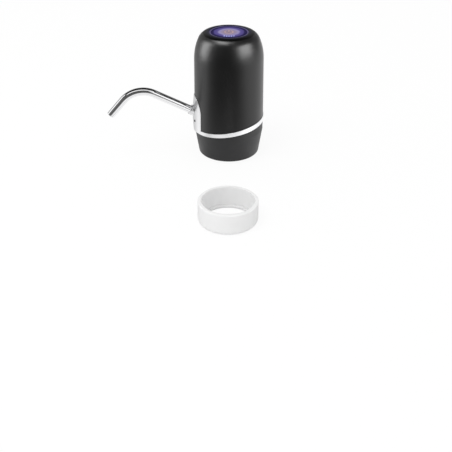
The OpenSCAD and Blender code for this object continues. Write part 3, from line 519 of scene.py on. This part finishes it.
def bezel_line(top, lift):
    """Radius and height from the light ring outwards, over the flat and into the edge curve."""
    reach = BEZEL_EDGE_R + lift
    line = [(BEZEL_IN_R, top + lift)]
    for i in range(BEZEL_STEPS + 1):
        turn = BEZEL_TURN * i / BEZEL_STEPS
        line.append((BEZEL_FLAT_R + reach * math.sin(turn), top - BEZEL_EDGE_R + reach * math.cos(turn)))
    return line


def add_bezel():
    """A ring that follows the shell's top and is sunk a little into it."""
    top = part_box("upper_shell")[1].z
    profile = bezel_line(top, BEZEL_T) + bezel_line(top, -BEZEL_SUNK)[::-1]
    shape = bmesh.new()
    loops = []
    for i in range(BEZEL_SIDES):
        turn = 2 * math.pi * i / BEZEL_SIDES
        loops.append([shape.verts.new((r * math.cos(turn), r * math.sin(turn), z)) for r, z in profile])
    skin(shape, loops + loops[:1])
    add_piece("button_bezel", shape, FILM, "housing")


add_bezel()

# Marks on the button: a plain open ring with a bar, and a row of level dots at the front
MARK_H = 0.16 * MM
MARK_SUNK = 0.04 * MM
MARK_FRONT = VIEW_AZIMUTH - math.pi / 2
SIGN_W = 0.55 * MM
SIGN_RING_R = 4.2 * MM
SIGN_GAP = math.radians(38)
SIGN_BAR = (1.6 * MM, 5.4 * MM)
SIGN_STEPS = 40
DOT_R = 0.85 * MM
DOT_ARC_R = 13.2 * MM
DOT_COUNT = 5
DOT_STEP = math.radians(10.5)
DOT_ARC = 0.002
RIDGE_END_STEPS = 5
RIDGE_END_REACH = 0.98
RIDGE_SIDES = 8


def ridge_rings(line, half_w):
    """Centre, heading and relative size of each cross-section, with round ends."""
    start, end = line[0], line[-1]
    first = (line[1] - start).normalized()
    last = (end - line[-2]).normalized()
    ends = [RIDGE_END_REACH * i / RIDGE_END_STEPS for i in range(1, RIDGE_END_STEPS + 1)]
    rings = []
    for t in reversed(ends):
        rings.append((start - first * half_w * t, first, math.sqrt(1 - t * t)))
    for i, point in enumerate(line):
        along = line[min(i + 1, len(line) - 1)] - line[max(i - 1, 0)]
        rings.append((point, along.normalized(), 1.0))
    for t in ends:
        rings.append((end + last * half_w * t, last, math.sqrt(1 - t * t)))
    return rings


def add_ridge(shape, line, half_w, height, low):
    """Adds a rounded ridge along a flat line of points."""
    loops = []
    for centre, along, size in ridge_rings(line, half_w):
        across = Vector((-along.y, along.x))
        loop = []
        for j in range(RIDGE_SIDES + 1):
            turn = math.pi * j / RIDGE_SIDES
            flat = centre + across * half_w * size * math.cos(turn)
            loop.append(shape.verts.new((flat.x, flat.y, low + height * size * math.sin(turn))))
        loops.append(loop)
    skin(shape, loops)
    shape.faces.new(loops[0])
    shape.faces.new(loops[-1][::-1])


def polar(radius, angle):
    """A flat point at a radius and an angle."""
    return Vector((radius * math.cos(angle), radius * math.sin(angle)))


def add_mark(name, lines, half_w, material):
    """One set of raised lines, moving with the button."""
    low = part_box("button_cap")[1].z - MARK_SUNK
    shape = bmesh.new()
    for line in lines:
        add_ridge(shape, line, half_w, MARK_H + MARK_SUNK, low)
    add_piece(name, shape, material, "button")


def add_sign():
    """Open ring whose gap is at the back, with a bar through the gap."""
    back = MARK_FRONT + math.pi
    arc = 2 * math.pi - 2 * SIGN_GAP
    turns = [back + SIGN_GAP + arc * i / SIGN_STEPS for i in range(SIGN_STEPS + 1)]
    ring = [polar(SIGN_RING_R, turn) for turn in turns]
    bar = [polar(reach, back) for reach in SIGN_BAR]
    add_mark("power_sign", [ring, bar], SIGN_W, SIGN)


def add_dots():
    """Row of dots, each a ridge so short that only its round ends show."""
    dots = []
    for i in range(DOT_COUNT):
        turn = MARK_FRONT + (i - (DOT_COUNT - 1) / 2) * DOT_STEP
        dots.append([polar(DOT_ARC_R, turn), polar(DOT_ARC_R, turn + DOT_ARC)])
    add_mark("level_dots", dots, DOT_R, SIGN_DOTS)


add_sign()
add_dots()

# Floor: white to the eye, with a matte share that keeps the shadow, and shaded where gloss reflects it
FLOOR_HALF = 3.0
FLOOR_WHITE = 0.90
FLOOR_MATTE = (0.95, 0.95, 0.95, 1.0)
SHEEN_REACH = (0.09, 0.21)
SHEEN_LEVELS = (0.66, 0.09)
SHEEN_SIDE = 1.1
SHEEN_DARK_WAY = math.radians(-22.0)
SHEEN_SIDE_EDGES = (0.85, 0.25)
SHEEN_DIM = 0.60
SHEEN_DIM_WAY = math.radians(-150.0)
SHEEN_DIM_EDGES = (0.6, 0.95)


def share_towards(tree, way, azimuth):
    """How far a flat direction points towards an azimuth: 1 straight at it, -1 straight away."""
    made = node(tree, "ShaderNodeVectorMath", operation="DOT_PRODUCT")
    made.inputs[1].default_value = (math.sin(azimuth), -math.cos(azimuth), 0.0)
    tree.links.new(way, made.inputs[0])
    return made.outputs["Value"]


def floor_sheen(tree):
    """Brightness that the floor shows in glossy surfaces: palest close by and to the sides."""
    place = node(tree, "ShaderNodeNewGeometry").outputs["Position"]
    reach = node(tree, "ShaderNodeVectorMath", operation="LENGTH")
    tree.links.new(place, reach.inputs[0])
    near = ranged(tree, reach.outputs["Value"], SHEEN_REACH, SHEEN_LEVELS)
    way = node(tree, "ShaderNodeVectorMath", operation="NORMALIZE")
    tree.links.new(place, way.inputs[0])
    front = share_towards(tree, way.outputs["Vector"], SHEEN_DARK_WAY)
    level = node(tree, "ShaderNodeMix")
    level.inputs["B"].default_value = SHEEN_SIDE
    tree.links.new(ranged(tree, front, SHEEN_SIDE_EDGES, (0.0, 1.0), soft=True), level.inputs["Factor"])
    tree.links.new(near, level.inputs["A"])
    rear = share_towards(tree, way.outputs["Vector"], SHEEN_DIM_WAY)
    dim = ranged(tree, rear, SHEEN_DIM_EDGES, (1.0, SHEEN_DIM), soft=True)
    return math_node(tree, "MULTIPLY", level.outputs["Result"], dim)


def floor_material():
    """Matte and white to the eye, and the shaped sheen in reflections."""
    mat = bpy.data.materials.new("floor")
    mat.use_nodes = True
    tree = mat.node_tree
    tree.nodes.clear()
    out = node(tree, "ShaderNodeOutputMaterial")
    matte = node(tree, "ShaderNodeBsdfDiffuse", Color=FLOOR_MATTE)
    white = node(tree, "ShaderNodeEmission", Color=WHITE, Strength=1.0)
    sheen = node(tree, "ShaderNodeEmission", Color=WHITE)
    tree.links.new(floor_sheen(tree), sheen.inputs["Strength"])
    paths = node(tree, "ShaderNodeLightPath")
    eye = node(tree, "ShaderNodeMixShader")
    white_share = math_node(tree, "MULTIPLY", paths.outputs["Is Camera Ray"], FLOOR_WHITE)
    tree.links.new(white_share, eye.inputs["Fac"])
    tree.links.new(matte.outputs[0], eye.inputs[1])
    tree.links.new(white.outputs[0], eye.inputs[2])
    gloss = node(tree, "ShaderNodeMixShader")
    tree.links.new(paths.outputs["Is Glossy Ray"], gloss.inputs["Fac"])
    tree.links.new(eye.outputs[0], gloss.inputs[1])
    tree.links.new(sheen.outputs[0], gloss.inputs[2])
    tree.links.new(gloss.outputs[0], out.inputs["Surface"])
    return mat


def add_floor():
    """A wide square floor."""
    corners = [(x * FLOOR_HALF, y * FLOOR_HALF, 0.0) for x, y in ((-1, -1), (1, -1), (1, 1), (-1, 1))]
    mesh = bpy.data.meshes.new("floor")
    mesh.from_pydata(corners, [], [(0, 1, 2, 3)])
    mesh.materials.append(floor_material())
    floor = bpy.data.objects.new("floor", mesh)
    scene.collection.objects.link(floor)


# World: plain on matte surfaces, and in reflections paler at the back and dark overhead
WORLD_MATTE = 0.82
WORLD_GLOSS = (0.09, 0.34)
WORLD_HEIGHTS = [(0.0, 1.0), (0.40, 1.0), (0.64, 0.06), (1.0, 0.04)]


def add_world():
    """White to the eye, with levels of its own for matte light and for reflections."""
    world = bpy.data.worlds.new("studio")
    scene.world = world
    world.use_nodes = True
    tree = world.node_tree
    tree.nodes.clear()
    out = node(tree, "ShaderNodeOutputWorld")
    paths = node(tree, "ShaderNodeLightPath")
    axes = node(tree, "ShaderNodeSeparateXYZ")
    tree.links.new(node(tree, "ShaderNodeTexCoord").outputs["Generated"], axes.inputs[0])
    behind = ranged(tree, axes.outputs["Y"], (-1.0, 1.0), WORLD_GLOSS)
    height = colour_ramp(tree, axes.outputs["Z"], [(at, (level,) * 3) for at, level in WORLD_HEIGHTS])
    level = node(tree, "ShaderNodeMix")
    level.inputs["A"].default_value = WORLD_MATTE
    tree.links.new(paths.outputs["Is Glossy Ray"], level.inputs["Factor"])
    tree.links.new(math_node(tree, "MULTIPLY", behind, height), level.inputs["B"])
    shown = math_node(tree, "MAXIMUM", level.outputs["Result"], paths.outputs["Is Camera Ray"])
    light = node(tree, "ShaderNodeBackground", Color=WHITE)
    tree.links.new(shown, light.inputs["Strength"])
    tree.links.new(light.outputs[0], out.inputs["Surface"])


# Lamps: one key light for matte surfaces, softboxes in the mouldings' gloss, dim cards in the bright metal
LAMP_AIM = (0.0, 0.0, 0.09)
CARD_LIFT = 2.0 * MM
CARD_AIM = 1.0


def receivers(name, pieces):
    """A set of pieces that a lamp is kept to."""
    made = bpy.data.collections.new(name)
    for piece in pieces:
        made.objects.link(piece)
    return made


MOULDINGS = receivers("mouldings", [nodes["upper_shell"], nodes["base"]])
BRIGHT_METAL = receivers("bright_metal", [spout_piece, nodes["spout_ferrule"], nodes["trim_band"]])


def add_lamp(name, place, size, power, shown_in=None, aim=LAMP_AIM):
    """Area light on matte surfaces, or one that only shows in the gloss of some pieces."""
    data = bpy.data.lights.new(name, "AREA")
    data.shape = "RECTANGLE"
    data.size, data.size_y = size
    data.energy = power
    lamp = bpy.data.objects.new(name, data)
    lamp.location = place
    lamp.rotation_euler = (Vector(aim) - Vector(place)).to_track_quat("-Z", "Y").to_euler()
    lamp.visible_camera = False
    lamp.visible_glossy = shown_in is not None
    lamp.visible_diffuse = shown_in is None
    if shown_in:
        lamp.light_linking.receiver_collection = shown_in
    scene.collection.objects.link(lamp)


def add_floor_card(name, at, size, power):
    """A card that lies face up just over the floor and shows in the bright metal."""
    add_lamp(name, (*at, CARD_LIFT), size, power, shown_in=BRIGHT_METAL, aim=(*at, CARD_AIM))


add_floor()
add_world()
add_lamp("softbox_left", (-1.08, 0.21, 0.44), size=(0.65, 0.95), power=15.0, shown_in=MOULDINGS)
add_lamp("softbox_right", (0.88, -0.73, 0.56), size=(1.0, 0.7), power=21.0, shown_in=MOULDINGS)
add_lamp("softbox_top", (-0.32, -0.03, 1.3), size=(0.75, 0.5), power=12.0, shown_in=MOULDINGS)
add_lamp("card_left", (-1.08, 0.21, 0.44), size=(0.65, 0.95), power=1.75, shown_in=BRIGHT_METAL)
add_lamp("card_right", (0.80, -0.82, 0.42), size=(1.1, 0.9), power=3.2, shown_in=BRIGHT_METAL)
add_lamp("card_top", (-0.1, -0.55, 1.1), size=(1.8, 0.6), power=2.9, shown_in=BRIGHT_METAL)
add_floor_card("card_near", (0.0, -0.14), size=(0.5, 0.18), power=0.13)
add_floor_card("card_far", (0.26, -0.44), size=(0.58, 0.42), power=0.34)
add_lamp("key", (-0.7, -0.5, 1.5), size=(0.9, 0.9), power=9.0)
scene.view_settings.view_transform = "Standard"
